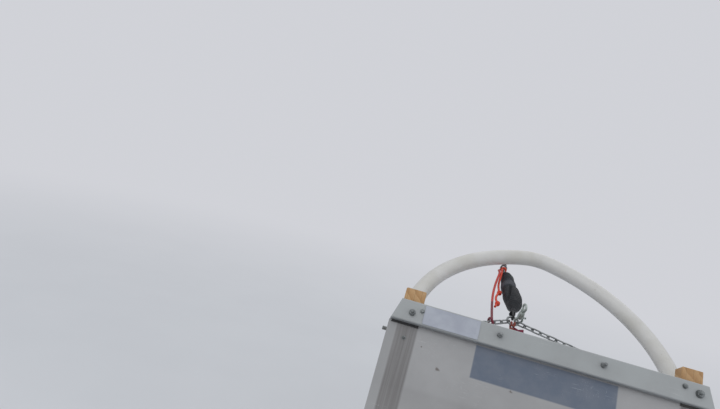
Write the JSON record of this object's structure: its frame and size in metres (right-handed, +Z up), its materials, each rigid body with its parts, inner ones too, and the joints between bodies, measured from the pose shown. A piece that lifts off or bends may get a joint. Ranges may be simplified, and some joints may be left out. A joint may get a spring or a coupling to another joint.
{
  "type": "dog sled",
  "caption": "Wooden touring dog sled with a turned-up plastic bed, front crosspiece and brush bow, chain bridle, driving bow, footboards and a hinged claw brake.",
  "frame": {"origin": "on the ground under the middle of the sled's box", "axes": "+Y forward, the way it travels; +X to the rider's right; +Z up"},
  "size_m": [0.599, 2.3759, 0.9767],
  "materials": {
    "ash_wood": "oiled, worn",
    "shoe_plastic": "scuffed",
    "black_rubber": "matt",
    "clear_sheet": "milky, scratched",
    "white_plastic": "satin",
    "bow_plastic": "satin",
    "plate_metal": "painted matt",
    "backing_plastic": "matt",
    "galvanised_steel": "galvanised",
    "black_webbing": "woven",
    "orange_cord": "braided",
    "red_cord": "braided"
  },
  "bodies": {
    "sled": {"backing_plate": "backing_plastic", "beam_left": "ash_wood", "beam_right": "ash_wood", "bed_sheet": "clear_sheet", "bed_slats": "ash_wood", "blank_plate": "plate_metal", "bow_eye": "galvanised_steel", "brake_brackets": "galvanised_steel", "brake_pins": "galvanised_steel", "brake_springs": "galvanised_steel", "bridle_chain": "galvanised_steel", "bridle_eyes": "galvanised_steel", "bridle_ring": "galvanised_steel", "bridle_snap": "galvanised_steel", "brush_bow": "bow_plastic", "cross_members": "ash_wood", "crosspiece": "white_plastic", "driving_bow": "ash_wood", "footboard_left": "ash_wood", "footboard_right": "ash_wood", "front_link": "galvanised_steel", "grip": "black_rubber", "packers": "black_rubber", "posts_left": "ash_wood", "posts_right": "ash_wood", "ring_hitch": "red_cord", "rope_loops": "red_cord", "runner_left": "ash_wood", "runner_right": "ash_wood", "safety_cord": "orange_cord", "shock_sleeve": "black_webbing", "shoe_left": "shoe_plastic", "shoe_right": "shoe_plastic", "side_rail_left": "ash_wood", "side_rail_right": "ash_wood", "stanchions_left": "ash_wood", "stanchions_right": "ash_wood", "tread_left": "black_rubber", "tread_right": "black_rubber"},
    "brake": {"brake_arms": "galvanised_steel", "brake_claws": "galvanised_steel", "brake_plate": "galvanised_steel"}
  },
  "joints": [
    {"name": "brake_hinge", "type": "hinge", "parent": "sled", "child": "brake", "pos_m": [0, -0.71798, 0.102], "axis": [1, 0, 0], "range_deg": [0, 13], "stiffness_Nm_per_rad": 8, "springref_deg": -40.11}
  ]
}
